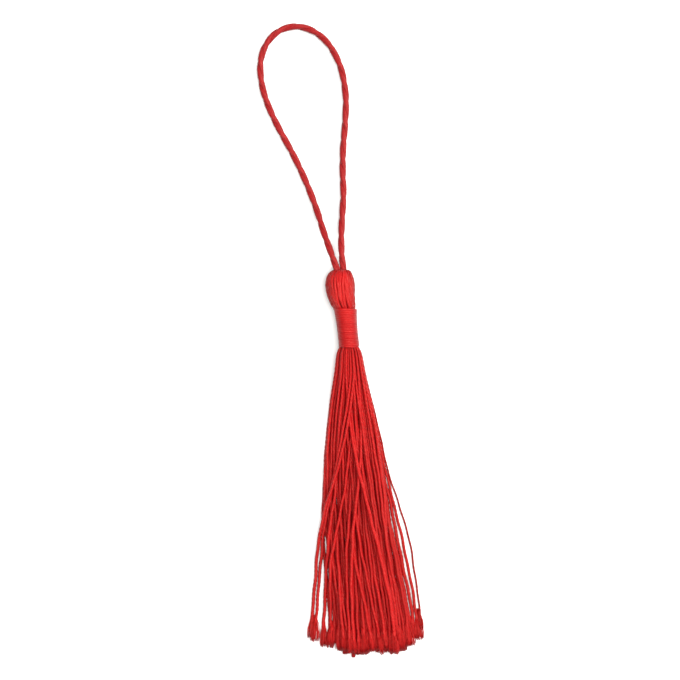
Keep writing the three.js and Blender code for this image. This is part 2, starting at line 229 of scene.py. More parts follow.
def merged_solid(node):
    """Points of a CAD node, with the corners of its loose triangles merged, and its edges."""
    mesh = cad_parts[node].data
    corners = np.empty(len(mesh.vertices) * 3, np.float32)
    mesh.vertices.foreach_get("co", corners)
    corners = corners.reshape(-1, 3).astype(float)
    pairs = np.empty(len(mesh.edges) * 2, np.int32)
    mesh.edges.foreach_get("vertices", pairs)
    grid = np.round(corners / MERGE).astype(np.int64)
    _, first, index = np.unique(grid, axis=0, return_index=True, return_inverse=True)
    edges = np.sort(index.reshape(-1)[pairs.reshape(-1, 2)], axis=1)
    return corners[first], np.unique(edges, axis=0)


def crossing(points, edges, y):
    """Where edges cross the plane at y, as rows of x and z."""
    a = points[edges[:, 0]]
    b = points[edges[:, 1]]
    cut = (a[:, 1] - y) * (b[:, 1] - y) < 0
    share = ((y - a[cut, 1]) / (b[cut, 1] - a[cut, 1]))[:, None]
    return (a[cut] + share * (b[cut] - a[cut]))[:, [0, 2]]


def section(points, edges, y):
    """Centre of a rounded section at y, its half width and its half height: x, z, width, height."""
    cut = crossing(points, edges, y)
    right = cut[:, 0].argmax()
    half = (cut[right, 0] - cut[:, 0].min()) / 2
    return cut[right, 0] - half, cut[right, 1], half, cut[:, 1].max() - cut[right, 1]


def strand_labels(points, edges):
    """Number of the strand that each point belongs to, or -1 for a point of head and backing."""
    low = points[:, 1] < STRANDS_BELOW
    labels = np.where(low, np.arange(len(points)), -1)
    inside = edges[low[edges].all(axis=1)]
    while True:
        least = labels[inside].min(axis=1)
        joined = labels.copy()
        np.minimum.at(joined, inside[:, 0], least)
        np.minimum.at(joined, inside[:, 1], least)
        if (joined == labels).all():
            return labels
        labels = joined


def strand_lines():
    """Every strand of the solid as rows of y, x, z and half side, from its root to its tip."""
    points, edges = merged_solid("floss")
    labels = strand_labels(points, edges)
    lines = []
    for label in np.unique(labels[labels >= 0]):
        mine = edges[(labels[edges] == label).any(axis=1)]
        tip = points[labels == label, 1].min() + MERGE
        rows = []
        for y in np.linspace(STRANDS_BELOW, tip, STRAND_SLICES):
            cut = crossing(points, mine, y)
            low, high = cut.min(axis=0), cut.max(axis=0)
            rows.append([y, *(low + high) / 2, (high - low).min() / 2])
        rows = np.array(rows)
        slope = (rows[0] - rows[1]) / (rows[0, 0] - rows[1, 0])
        root = rows[0] + slope * (ROOT_Y - rows[0, 0])
        lines.append(np.vstack([root, rows]))
    return sorted(lines, key=lambda rows: rows[-1, 1])


# Paths, tubes and meshes

PLY_PRESS = 0.56  # how much a ply that stands further off is narrowed by its twin
PLY_SIDES = 6
TOP_LIGHT = 0.11  # painted light: how much lighter the top of a yarn is than its sides, and painted shade as much darker underneath
PLY_TONES = (0.03, -0.03)  # the two plies of a yarn differ a little in tone
FIBRE_SIDES = 4


def smoothed(values, reach):
    """Rows of values averaged over a soft window that reaches so many rows to each side."""
    window = np.hanning(2 * reach + 3)[1:-1]
    window /= window.sum()
    padded = np.pad(values, ((reach, reach), (0, 0)), mode="reflect", reflect_type="odd")
    return np.stack([np.convolve(column, window, mode="valid") for column in padded.T], axis=1)


def distances(path):
    """Distance of each point of a path from its start."""
    return np.concatenate([[0], np.cumsum(np.linalg.norm(np.diff(path, axis=0), axis=1))])


def evenly(path, step):
    """Rows of a path respaced to an even step; columns after the third go with their points."""
    at = distances(path[:, :3])
    places = np.linspace(0, at[-1], max(4, round(at[-1] / step)))
    return np.stack([np.interp(places, at, column) for column in path.T], axis=1)


def across(path, first):
    """Two directions square to a path that turn with it as little as they can."""
    along = np.gradient(path, axis=0)
    along /= np.linalg.norm(along, axis=1)[:, None]
    out = np.empty_like(path)
    previous = np.asarray(first, float)
    for i, direction in enumerate(along):
        previous = previous - direction * (previous @ direction)
        previous /= np.linalg.norm(previous)
        out[i] = previous
    return out, np.cross(along, out)


def tube(path, out, side, depth, width, sides):
    """Rings of an oval tube; the first point of each ring faces away from out."""
    angles = math.pi + 2 * math.pi * np.arange(sides) / sides
    swing = out[:, None] * np.cos(angles)[None, :, None] * depth[:, None, None]
    sway = side[:, None] * np.sin(angles)[None, :, None] * width[:, None, None]
    return path[:, None] + swing + sway


def twist(path, pitch, phase, slack=0.0):
    """Angle by which a yarn has turned at each point of its path; it turns less where it is slack."""
    steps = np.diff(distances(path), prepend=0) * (1 - slack)
    return phase + 2 * math.pi * np.cumsum(steps) / pitch


def plies(path, radius, first, turn, sides, relief, opening=1.0):
    """Rings of the two plies of a yarn twisted left-handed; opening parts them, as at a cut end."""
    normal, binormal = across(path, first)
    rings = []
    for start in (0, math.pi):
        angle = (start - turn)[:, None]
        out = np.cos(angle) * normal + np.sin(angle) * binormal
        side = np.cos(angle) * binormal - np.sin(angle) * normal
        centre = path + out * (relief * radius * opening)[:, None]
        depth = (1 - relief) * radius
        width = (1 - PLY_PRESS * relief) * radius
        rings.append(tube(centre, out, side, depth, width, sides))
    return rings


def shaded(rings, path, radius, tone):
    """Tone at each point of a yarn's rings: the yarn's own, with painted light on top and painted shade
    underneath.
    """
    height = (rings[:, :, 2] - path[:, 2, None]) / radius[:, None]
    return np.clip(np.reshape(tone, (-1, 1)) + TOP_LIGHT * height, 0, 1)


def tube_quads(count, sides):
    """Corners of a closed tube's quads: its side, then its two ends."""
    ring = np.arange(sides)
    after = np.roll(ring, -1)
    base = np.arange(count - 1)[:, None] * sides
    wall = np.stack([base + ring, base + after, base + sides + after, base + sides + ring], axis=-1)
    odd = np.arange(1, sides - 2, 2)
    start = np.stack([0 * odd, odd + 2, odd + 1, odd], axis=-1)
    end = np.stack([0 * odd, odd, odd + 1, odd + 2], axis=-1) + (count - 1) * sides
    return np.concatenate([wall.reshape(-1, 4), start, end])


def tube_uv(rings):
    """Millimetres round and along the tube at each corner of its quads."""
    count, sides = rings.shape[:2]
    girth = np.linalg.norm(np.diff(rings[count // 2], axis=0), axis=1).mean() * sides / MM
    along = distances(rings.mean(axis=1)) / MM
    u = np.arange(sides)[None, :, None] + np.array([0, 1, 1, 0])
    u = np.broadcast_to(u * girth / sides, (count - 1, sides, 4))
    v = np.stack([along[:-1], along[:-1], along[1:], along[1:]], axis=-1)
    v = np.broadcast_to(v[:, None], u.shape)
    wall = np.stack([u, v], axis=-1).reshape(-1, 2)
    ends = np.zeros(((sides - 2) * 4, 2))
    return np.concatenate([wall, ends])


def tubes_object(name, tubes, material):
    """One mesh object of closed tubes, each given as its rings and the tones of their points."""
    points, quads, uv, tones = [], [], [], []
    count = 0
    for rings, tone in tubes:
        points.append(rings.reshape(-1, 3))
        quads.append(tube_quads(*rings.shape[:2]) + count)
        uv.append(tube_uv(rings))
        tones.append(np.broadcast_to(tone, rings.shape[:2]).ravel())
        count += len(points[-1])
    quads = np.concatenate(quads)
    mesh = bpy.data.meshes.new(name)
    mesh.vertices.add(count)
    mesh.vertices.foreach_set("co", np.concatenate(points).astype(np.float32).ravel())
    mesh.loops.add(quads.size)
    mesh.loops.foreach_set("vertex_index", quads.astype(np.int32).ravel())
    mesh.polygons.add(len(quads))
    mesh.polygons.foreach_set("loop_start", np.arange(0, quads.size, 4, dtype=np.int32))
    mesh.update(calc_edges=True)
    mesh.uv_layers.new(name=YARN_UV).data.foreach_set("uv", np.concatenate(uv).astype(np.float32).ravel())
    tone_values = mesh.attributes.new(TONE, "FLOAT", "POINT").data
    tone_values.foreach_set("value", np.concatenate(tones).astype(np.float32))
    mesh.shade_smooth()
    mesh.materials.append(material)
    obj = bpy.data.objects.new(name, mesh)
    bpy.context.scene.collection.objects.link(obj)
    return obj


def dress(obj, node):
    """The piece rides on the part and stands for a solid, which is hidden."""
    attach(obj, "root")
    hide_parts(node)


# Materials

FILAMENT_RUN = 25  # length of a filament in its own widths
FILAMENT_TONE = 0.2  # how much lighter the lightest filaments are
FILAMENT_GLOSS = 0.1  # how far the roughness of a filament strays to each side
FILAMENT_DEPTH = 0.35  # height of a filament as a share of its width
NOISE_MIDDLE = {"From Min": 0.36, "From Max": 0.64}  # the range that most of the noise lies in
CARD_FIBRE = 0.5 * MM  # length of the fibres of the card
CARD_TOOTH = 0.02 * MM  # height of its tooth


def add_node(tree, kind, settings, inputs):
    """Adds a node, with its settings, and with each input set to a value or linked to a socket."""
    node = tree.nodes.new(kind)
    for name, value in settings.items():
        setattr(node, name, value)
    for key, value in inputs.items():
        if isinstance(value, bpy.types.NodeSocket):
            tree.links.new(value, node.inputs[key])
        else:
            node.inputs[key].default_value = value
    return node


def spun_material(name, settings, filament, roughness, sheen):
    """A spun thread: tone by strand with painted light and shade, fine filaments along the ply, and a silky
    gloss.
    """
    material = bpy.data.materials.new(name)
    material.use_nodes = True
    tree = material.node_tree
    tree.nodes.clear()
    uv = add_node(tree, "ShaderNodeUVMap", {"uv_map": YARN_UV}, {})
    # filament is the width of one filament in millimetres
    scale = (1 / filament, 1 / (FILAMENT_RUN * filament), 1)
    lines = add_node(tree, "ShaderNodeMapping", {}, {"Vector": uv.outputs["UV"], "Scale": scale})
    noise = add_node(
        tree,
        "ShaderNodeTexNoise",
        {"noise_dimensions": "2D"},
        {"Vector": lines.outputs["Vector"], "Scale": 1.0, "Detail": 2.0, "Roughness": 0.6},
    )
    filaments = add_node(tree, "ShaderNodeMapRange", {}, {"Value": noise.outputs["Fac"], **NOISE_MIDDLE})
    # The tone read here holds each point's own tone and the painted light and painted shade laid on it
    tone = add_node(tree, "ShaderNodeAttribute", {"attribute_name": TONE}, {})
    share = add_node(
        tree,
        "ShaderNodeMath",
        {"operation": "MULTIPLY_ADD"},
        {0: filaments.outputs["Result"], 1: FILAMENT_TONE, 2: tone.outputs["Fac"]},
    )
    colour = add_node(
        tree,
        "ShaderNodeMix",
        {"data_type": "RGBA"},
        {0: share.outputs["Value"], 6: settings.deep, 7: settings.bright},
    )
    gloss = add_node(
        tree,
        "ShaderNodeMapRange",
        {},
        {
            "Value": filaments.outputs["Result"],
            "To Min": roughness + FILAMENT_GLOSS,
            "To Max": roughness - FILAMENT_GLOSS,
        },
    )
    bump = add_node(
        tree,
        "ShaderNodeBump",
        {},
        {
            "Height": filaments.outputs["Result"],
            "Strength": 0.8,
            "Distance": FILAMENT_DEPTH * filament * MM,
        },
    )
    surface = add_node(
        tree,
        "ShaderNodeBsdfPrincipled",
        {},
        {
            "Base Color": colour.outputs[2],
            "Roughness": gloss.outputs["Result"],
            "Normal": bump.outputs["Normal"],
            "IOR": 1.53,
            "Specular IOR Level": 0.42,
            "Specular Tint": linear("#ffa393"),
            "Sheen Weight": sheen,
            "Sheen Roughness": 0.35,
            "Sheen Tint": linear("#ff5a4a"),
        },
    )
    add_node(tree, "ShaderNodeOutputMaterial", {}, {"Surface": surface.outputs["BSDF"]})
    return material


def viscose_floss(settings):
    """Soft twisted viscose floss: smooth filaments give a bright line on each ply and deep red grooves,
    helped by painted light on top and painted shade in the pile.
    """
    # The real filaments are about 0.02 mm wide; they are drawn coarser, so that they show
    return spun_material("viscose_floss", settings, filament=0.1, roughness=0.4, sheen=0.02)


def polyester_thread(settings):
    """Fine polyester thread wound under tension: smooth, with a tight highlight along the neck."""
    return spun_material("polyester_thread", settings, filament=0.08, roughness=0.4, sheen=0.02)


def polyester_cord(settings):
    """Two plies of polyester twisted hard: round shining plies with a dark groove between them."""
    return spun_material("polyester_cord", settings, filament=0.11, roughness=0.45, sheen=0.03)


def matt_card(settings):
    """Matt white card: an even pale floor with hardly any gloss and a faint tooth."""
    material = bpy.data.materials.new("matt_card")
    material.use_nodes = True
    tree = material.node_tree
    tree.nodes.clear()
    place = add_node(tree, "ShaderNodeTexCoord", {}, {})
    tooth = add_node(
        tree,
        "ShaderNodeTexNoise",
        {},
        {"Vector": place.outputs["Object"], "Scale": 1 / CARD_FIBRE, "Detail": 2.0},
    )
    bump = add_node(
        tree,
        "ShaderNodeBump",
        {},
        {"Height": tooth.outputs["Fac"], "Strength": 0.1, "Distance": CARD_TOOTH},
    )
    surface = add_node(
        tree,
        "ShaderNodeBsdfPrincipled",
        {},
        {"Base Color": settings.floor, "Roughness": 0.9, "Normal": bump.outputs["Normal"]},
    )
    add_node(tree, "ShaderNodeOutputMaterial", {}, {"Surface": surface.outputs["BSDF"]})
    return material


# Stage

FLOOR_SIDE = 3.0
FLOOR_DROP = 0.02 * MM  # keeps the floor clear of the faces that rest on it
KEY_PLACE = (0.5, 0.12, 0.6)
KEY_SIDE = 0.5
FILL_PLACE = (0.0, 0.0, 0.9)
FILL_SIDE = 0.6
NEAR_CLIP = 0.01


def overhead_camera(centre, side, lens):
    """A camera that looks straight down and takes in a square of the given side."""
    bpy.ops.object.camera_add(rotation=(0, 0, 0))
    camera = bpy.context.object
    camera.data.lens = lens
    camera.data.clip_start = NEAR_CLIP
    camera.location = (centre[0], centre[1], side * lens / camera.data.sensor_width)
    return camera


def floor_plane(foot, material):
    """A wide plane just below the part."""
    bpy.ops.mesh.primitive_plane_add(size=FLOOR_SIDE, location=(foot[0], foot[1], -FLOOR_DROP))
    floor = bpy.context.object
    floor.name = "floor"
    floor.data.materials.append(material)
    return floor


def studio_air(strength):
    """White light from all round."""
    world = bpy.data.worlds.new("studio_air")
    world.use_nodes = True
    background = world.node_tree.nodes["Background"]
    background.inputs["Color"].default_value = linear("#ffffff")
    background.inputs["Strength"].default_value = strength
    return world


def area_light(name, place, side, power, target):
    """A square soft light that looks at a point."""
    bpy.ops.object.light_add(type="AREA", location=place)
    light = bpy.context.object
    light.name = name
    light.data.size = side
    light.data.energy = power
    way = np.subtract(place, target)
    turn = math.atan2(way[1], way[0]) + math.pi / 2
    light.rotation_euler = (math.atan2(math.hypot(way[0], way[1]), way[2]), 0, turn)
    return light


class TASSEL_OT_stage(bpy.types.Operator):
    """Sets up the camera straight above, the pale floor and the soft light"""

    bl_idname = "tassel.stage"
    bl_label = "Camera, floor and light"

    def execute(self, context):
        settings = context.scene.tassel_stage
        low, high = np.array(CAD_BOX)
        centre = (low + high) / 2
        foot = np.array([centre[0], centre[1], 0])
        side = (high - low)[:2].max() / settings.fill
        context.scene.camera = overhead_camera(centre, side, settings.lens)
        floor = floor_plane(foot, matt_card(settings))
        area_light("key", foot + KEY_PLACE, KEY_SIDE, settings.key, centre)
        area_light("filler", foot + FILL_PLACE, FILL_SIDE, settings.filler, centre)
        context.scene.world = studio_air(settings.air)
        context.scene.view_settings.view_transform = "Standard"
        return {"FINISHED"}


# Hanging loop

LOOP_SIDES = 12
LOOP_TONE = 0.22
ROUTE_STEPS = 24  # steps from one point of the route to the next
UPWARDS = (0, 0, 1)


def curve_through(points, each):
    """Smooth curve through points, with so many steps from each to the next."""
    points = np.asarray(points, float)
    padded = np.vstack([2 * points[0] - points[1], points, 2 * points[-1] - points[-2]])
    a, b, c, d = padded[:-3], padded[1:-2], padded[2:-1], padded[3:]
    t = (np.arange(each) / each)[:, None, None]
    steps = b + 0.5 * t * ((c - a) + t * (2 * a - 5 * b + 4 * c - d + t * (3 * (b - c) + d - a)))
    return np.vstack([steps.transpose(1, 0, 2).reshape(-1, 3), points[-1]])


class TASSEL_OT_hanging_loop(bpy.types.Operator):
    bl_idname = "tassel.hanging_loop"
    bl_label = "Hanging loop"

    def execute(self, context):
        settings = context.scene.tassel_loop
        route = [LOOP_START, *LOOP_ROUTE, LOOP_END]
        path = evenly(curve_through(route, ROUTE_STEPS), settings.pitch / settings.steps)
        radius = np.full(len(path), settings.diameter / 2)
        turn = twist(path, settings.pitch, 0)
        rings = plies(path, radius, UPWARDS, turn, LOOP_SIDES, settings.relief)
        # Painted light on top of each ply and painted shade under it
        tubes = [(ring, shaded(ring, path, radius, LOOP_TONE)) for ring in rings]
        loop = tubes_object("hanging_loop_cord", tubes, polyester_cord(settings))
        dress(loop, "hanging_loop")
        return {"FINISHED"}


# Skirt

# Heights on Y at which the floss is measured, from inside the binding down
NECK_ROWS = np.array([25.4, 25.0, 24.5, 24.25, 23.4, 22.4, 21.2, 20.0, 19.0]) * MM
NECK_HALF = 1.8 * MM  # half width of the floss inside the binding
GRID_STEP = 0.9 * MM  # between the heights at which the strands are settled
PAST_HEM = 1.5 * MM  # how far the lines are carried on past the lowest tip
WAVE_LENGTHS = (23.0 * MM, 41.0 * MM)
RIPPLE_LENGTHS = (6.0 * MM, 11.0 * MM)
ROUNDING = (1.2 * MM, 5.0 * MM)  # reach over which a strand is rounded by the neck, and below it
STRAIGHTENING = 10.0 * MM  # reach over which a strand is drawn straight from side to side
LOOSE_BELOW = -6.0 * MM  # strands wander at full width below this on Y
SETTLING_ROUNDS = 90
SINKING = 0.02 * MM  # drop in the first round of settling; it dies away towards the last
SOFTNESS = 0.97  # how close soft yarns lie, as a share of their two radii
PARTING = 0.3  # share of an overlap that one round clears
EASING = 0.15  # share of a kink that one round takes out
THICKNESS_RANGE = (0.88, 1.12)  # radius of a strand as a share of the usual one
ROOT_FULLNESS = 0.3  # how much fuller a yarn is at its root, where its neighbours hold it
NECK_SPREAD = 1.06  # how far the yarns fill the neck, as a share of its solid
SPREAD_OVER = 4.0 * MM  # length above the roots over which they come to fill it
PITCH_RANGE = (0.9, 1.12)  # twist pitch of a strand as a share of the usual one
OVERHANG = 2.4  # a strand this many radii to one side still casts painted shade on the one below it
BURIED = 3.2  # depth in the pile, in radii, at which a strand's painted shade is deepest
VALLEY_REACH = 2.2 * MM  # how far to each side a valley in the pile is looked for
VALLEY_DEPTH = 0.7 * MM  # depth at which a valley's painted shade is deepest
STREAK_LENGTHS = (9.0 * MM, 17.0 * MM)
PILE_TONE = 0.5  # tone that the next five add to or take from
HEIGHT_LIGHT = 0.18  # painted light: how much lighter the top of the pile is than the floor
# Painted shade of a strand buried under others, and of one lying in a valley
BURIED_SHADE = 0.12
VALLEY_SHADE = 0.14
OWN_TONE = 0.07  # how far a strand's own tone strays to each side
STREAK_TONE = 0.03  # the same along a strand
SKIRT_TONES = (0.46, 0.9)  # least and greatest tone of a strand
THIN = (0.6, 0.85)  # shares of the usual radius at which a thin strand's painted shade is darkest, and at which it is as light as others
PIECES = ("skirt_left", "skirt_middle", "skirt_right")
NECK_RELIEF = 0.9  # how much more the plies stand out where the yarns are held
NECK_CONTRAST = 3.0  # how much more they differ in tone there
NECK_LIGHT = 0.16  # painted light: how much lighter the yarns are there
CUT_SPREAD = (0.6, 1.0)  # a cut end may open out partly or fully
CUT_OPENING = 1.8  # how much further apart the plies stand where an end is fully open
CUT_TAPER = 0.7  # how much thinner a ply is there
CUT_LIGHT = 0.4  # painted light: how much lighter the opened floss is
BRUSH_START = (2.6 * MM, 4.8 * MM)  # how far above the cut the fibres of a brush start
OUTER_STRANDS = 5  # so many at each edge have room to open out
OUTER_SPREAD = 1.3  # how wide their fibres open
HELD_SPREAD = 0.75  # how wide fibres open where neighbours hold them
BRUSH_ROOT = 0.55  # how far off the middle they start, inside the plies, as a share of the radius
BRUSH_TIPS = (0.8, 2.8)  # how far off the middle they reach, in radii, where an end is fully open
BRUSH_SHAPE = (0.0, 0.65, 1.0, 0.95, 0.7)  # how far a fibre has opened, from its root to its tip
BRUSH_TONES = (1.0, 1.0, 1.0, 0.9, 0.5)  # from the root of a fibre to its tip, darkened by painted shade
BARE_END = (-0.3 * MM, 0.7 * MM)  # how far the plies of a cut end stand out of its fibres
TIP_LENGTH = 1.4 * MM  # length over which painted shade darkens the plies towards their ends
TIP_SHADE = 0.75  # how much darker the painted shade makes them there
FIBRE_RADIUS = 0.07 * MM
FIBRE_TAPER = 0.6  # radius at the tip of a fibre as a share of that at its root
FIBRE_STRAY = 0.15  # how far its tip strays, in radii of the strand
LIMP_RATE = 3  # a strand grows limp so many times faster than it grows loose


def neck_sections():
    """Sections of the floss from inside the binding down to the strands' roots."""
    points, edges = merged_solid("floss")
    rows = []
    for y in [*NECK_ROWS, ROOT_Y + MERGE]:
        x, z, width, height = section(points, edges, y)
        rows.append([y, x, z, max(width, NECK_HALF), max(height, NECK_HALF)])
    return np.array(rows)


def carried_on(line, sections, lowest):
    """A strand's line carried up from its root into the binding, and on past its tip."""
    root_section = sections[-1]
    share = (line[0, 1:3] - root_section[1:3]) / root_section[3:5]
    above = []
    for y, x, z, width, height in sections[:-1]:
        spread = 1 + (NECK_SPREAD - 1) * min(1, (y - ROOT_Y) / SPREAD_OVER)
        place = [x + share[0] * width * spread, z + share[1] * height]
        above.append([y, *place, line[0, 3] * width / root_section[3]])
    slope = (line[-1] - line[-2]) / (line[-1, 0] - line[-2, 0])
    past = line[-1] + slope * (lowest - line[-1, 0])
    return np.vstack([above, line, past])


def looseness(y):
    """How loose the floss is at a height: 0 at the roots, 1 where the strands wander freely."""
    return np.clip((ROOT_Y - y) / (ROOT_Y - LOOSE_BELOW), 0, 1)


def waves(at, lengths, rng):
    """Sum of slow swings of random phase along a strand, each of height 1."""
    return sum(np.sin(2 * math.pi * (at / length + rng.random())) for length in lengths)


def settled(x, z, radius, free, real):
    """Strands sunk and eased apart until they lie on each other or on the floor; rows are heights."""
    reach = SOFTNESS * (radius[:, :, None] + radius[:, None, :])
    met = real[:, :, None] & real[:, None, :] & ~np.eye(x.shape[1], dtype=bool)
    for drop in np.linspace(SINKING, 0, SETTLING_ROUNDS):
        dx = x[:, :, None] - x[:, None, :]
        dz = z[:, :, None] - z[:, None, :]
        apart = np.hypot(dx, dz) + MERGE
        push = np.where(met, PARTING * np.clip(reach / apart - 1, 0, 1), 0)
        moved_x = x + (push * dx).sum(axis=2)
        moved_z = z + (push * dz).sum(axis=2) - drop
        x = np.where(free, moved_x, x)
        z = np.maximum(np.where(free, moved_z, z), radius)
        for values in (x, z):
            values[1:-1] += EASING * free[1:-1] * ((values[:-2] + values[2:]) / 2 - values[1:-1])
    return x, np.maximum(z, radius)


def pile_tones(x, z, radius, real, streaks, rng):
    """Tone of each strand at each height: painted light on ridges of the pile, painted shade in valleys and
    below.
    """
    aside = np.abs(x[:, :, None] - x[:, None, :])
    over = (aside < OVERHANG * radius[:, :, None]) & real[:, None, :]
    top = np.where(over, z[:, None, :], 0).max(axis=2)
    buried = np.clip((top - z) / (BURIED * radius), 0, 1)
    near = (aside < VALLEY_REACH) & real[:, None, :]
    around = (near * top[:, None, :]).sum(axis=2) / np.maximum(near.sum(axis=2), 1)
    valley = np.clip((around - top) / VALLEY_DEPTH, -1, 1)
    own = rng.uniform(-1, 1, x.shape[1])
    # Painted shade on thin strands: 0 for the thinnest, 1 for the usual
    full = np.interp(radius / np.median(radius, axis=1)[:, None], THIN, (0, 1))
    height = z / z.max(axis=1)[:, None]
    # Painted light by height and painted shade by burial and valleys, plus each strand's own random tone and
    # streaks
    tone = PILE_TONE + HEIGHT_LIGHT * height - BURIED_SHADE * buried - VALLEY_SHADE * valley
    tone += OWN_TONE * own + STREAK_TONE * streaks
    return np.clip(tone, *SKIRT_TONES) * full


def skirt_paths(settings, rng):
    """Every strand as rows of x, y, z, yarn radius and tone, from inside the binding to its own tip."""
    sections = neck_sections()
    solid_lines = strand_lines()
    tips = np.array([line[-1, 0] for line in solid_lines])
    tips += np.clip(rng.normal(0, settings.ragged, len(tips)), -2 * settings.ragged, 2 * settings.ragged)
    lowest = tips.min() - PAST_HEM
    heights = np.arange(NECK_ROWS[0], lowest, -GRID_STEP)
    lines = [carried_on(line, sections, lowest) for line in solid_lines]
    x, z, half = (
        np.stack([np.interp(-heights, -line[:, 0], line[:, column]) for line in lines], axis=1)
        for column in (1, 2, 3)
    )
    loose = looseness(heights)[:, None]
    fullness = settings.fullness * (1 + ROOT_FULLNESS * (1 - loose))
    radius = half * fullness * rng.uniform(*THICKNESS_RANGE, len(lines))
    wander = np.stack([waves(heights, WAVE_LENGTHS, rng) for _ in lines], axis=1)
    real = heights[:, None] > tips - GRID_STEP
    x, z = settled(x + settings.wave * loose * wander, z + radius - half, radius, loose > 0, real)
    streaks = np.stack([waves(heights, STREAK_LENGTHS, rng) for _ in lines], axis=1)
    tone = pile_tones(x, z, radius, real, streaks, rng)
    paths = []
    for k, tip in enumerate(tips):
        rows = np.stack([x[:, k], heights, z[:, k], radius[:, k], tone[:, k]], axis=1)
        ends = np.append(heights[heights > tip], tip)
        rows = np.stack([np.interp(-ends, -heights, column) for column in rows.T], axis=1)
        paths.append(strand_path(rows, settings, rng))
    return paths


def strand_path(rows, settings, rng):
    """Even small steps along a strand, rounded and rippled a little, on or above the floor."""
    path = evenly(rows, settings.step)
    loose = looseness(path[:, 1])
    firm, limp = (smoothed(path, round(reach / settings.step)) for reach in ROUNDING)
    limp[:, :1] = smoothed(path[:, :1], round(STRAIGHTENING / settings.step))
    path = firm + np.minimum(LIMP_RATE * loose, 1)[:, None] * (limp - firm)
    at = distances(path[:, :3])
    path[:, 0] += settings.ripple * loose * waves(at, RIPPLE_LENGTHS, rng)
    path[:, 2] += settings.ripple / 2 * loose * waves(at, RIPPLE_LENGTHS, rng)
    path[:, 2] = np.maximum(path[:, 2], path[:, 3])
    return path


def cut_fibres(path, spread, settings, rng):
    """Brush of loose fibres that opens out of a cut end, as thin tubes."""
    tip, radius = path[-1, :3], path[-1, 3]
    onward = path[-1, :3] - path[-4, :3]
    onward /= np.linalg.norm(onward)
    sideways = np.cross(onward, UPWARDS)
    upwards = np.cross(sideways, onward)
    bare = rng.uniform(*BARE_END)
    t = np.linspace(0, 1, len(BRUSH_TONES))[:, None]
    opened = np.array(BRUSH_SHAPE)[:, None]
    thick = FIBRE_RADIUS * np.linspace(1, FIBRE_TAPER, len(BRUSH_TONES))
    # Painted light on the opened fibres, and painted shade at their tips from BRUSH_TONES
    tone = (path[-1, 4] + CUT_LIGHT * spread) * np.array(BRUSH_TONES)[:, None]
    tubes = []
    for k in range(settings.fibres):
        angle = 2 * math.pi * (k + rng.random()) / settings.fibres
        away = radius * (math.cos(angle) * sideways + math.sin(angle) * upwards)
        start = rng.uniform(*BRUSH_START)
        reach = start - bare + settings.fibre * rng.random()
        flare = spread * rng.uniform(*BRUSH_TIPS) - BRUSH_ROOT
        line = tip + onward * (reach * t - start) + away * (BRUSH_ROOT + flare * opened)
        line += FIBRE_STRAY * radius * t * rng.normal(0, 1, 3)
        line[:, 2] = np.maximum(line[:, 2], FIBRE_RADIUS)
        out, side = across(line, UPWARDS)
        tubes.append((tube(line, out, side, thick, thick, FIBRE_SIDES), tone))
    return tubes


def strand_tubes(path, room, settings, rng):
    """Two twisted plies of one strand and its loose fibres, which open wider with more room."""
    at = distances(path[:, :3])
    spread = rng.uniform(*CUT_SPREAD)
    frayed = spread * np.clip(1 - (at[-1] - at) / settings.fray, 0, 1)
    radius = path[:, 3] * (1 - CUT_TAPER * frayed**2)
    pitch = settings.pitch * rng.uniform(*PITCH_RANGE)
    turn = twist(path[:, :3], pitch, rng.uniform(0, 2 * math.pi), frayed)
    opening = 1 + CUT_OPENING * frayed
    firmness = 1 - looseness(path[:, 1])
    relief = settings.relief * (1 + NECK_RELIEF * firmness)
    rings = plies(path[:, :3], radius, UPWARDS, turn, PLY_SIDES, relief, opening)
    for ring in rings:
        ring[:, :, 2] = np.maximum(ring[:, :, 2], 0)
    # Painted shade darkens the last stretch of each ply
    shade = TIP_SHADE * np.clip(1 - (at[-1] - at) / TIP_LENGTH, 0, 1)
    # Painted light lifts the opened end and the yarns held at the neck
    tone = (path[:, 4] + CUT_LIGHT * frayed + NECK_LIGHT * firmness) * (1 - shade)
    contrast = 1 + NECK_CONTRAST * firmness
    tubes = []
    for ring, own in zip(rings, PLY_TONES):
        tubes.append((ring, shaded(ring, path, radius, tone + contrast * own)))
    return tubes + cut_fibres(path, spread * room, settings, rng)


class TASSEL_OT_skirt(bpy.types.Operator):
    """Makes every strand of the skirt as a twisted yarn with a frayed end"""

    bl_idname = "tassel.skirt"
    bl_label = "Skirt"

    def execute(self, context):
        settings = context.scene.tassel_skirt
        rng = np.random.default_rng(SEED)
        material = viscose_floss(settings)
        paths = skirt_paths(settings, rng)
        for name, share in zip(PIECES, np.array_split(np.arange(len(paths)), len(PIECES))):
            tubes = []
            for k in share:
                outer = min(k, len(paths) - 1 - k) < OUTER_STRANDS
                tubes += strand_tubes(paths[k], OUTER_SPREAD if outer else HELD_SPREAD, settings, rng)
            dress(tubes_object(name, tubes, material), "floss")
        return {"FINISHED"}


# Head

HEAD_FROM = 32.5 * MM
HEAD_TO = 40.15 * MM
HEAD_ROWS = 16
TUCKED = ((30.9, 1.35), (31.6, 1.6), (32.1, 1.95))  # y and half width under the binding, in mm
CROWN_FOLD = ((40.25, 1.35), (40.3, 1.0), (40.1, 0.75), (39.4, 0.5))  # y and radius, in mm
SHOULDER = 0.12 * MM  # how far the yarns swell out towards the crown
YARN_STRAY = 0.25  # how far a yarn strays from its place round the head, as a share of that place
HEAD_TONE = 0.9  # tone of the yarns on the crest of the head; painted shade makes it fall off towards the floor
YARN_TONE = 0.09  # how far a yarn's own tone strays to each side
CORE_SHARE = 0.8  # size of the inner floss as a share of the section
CORE_TAPER = 0.5  # how much of that is left where it ends in the skirt
CORE_SIDES = 24


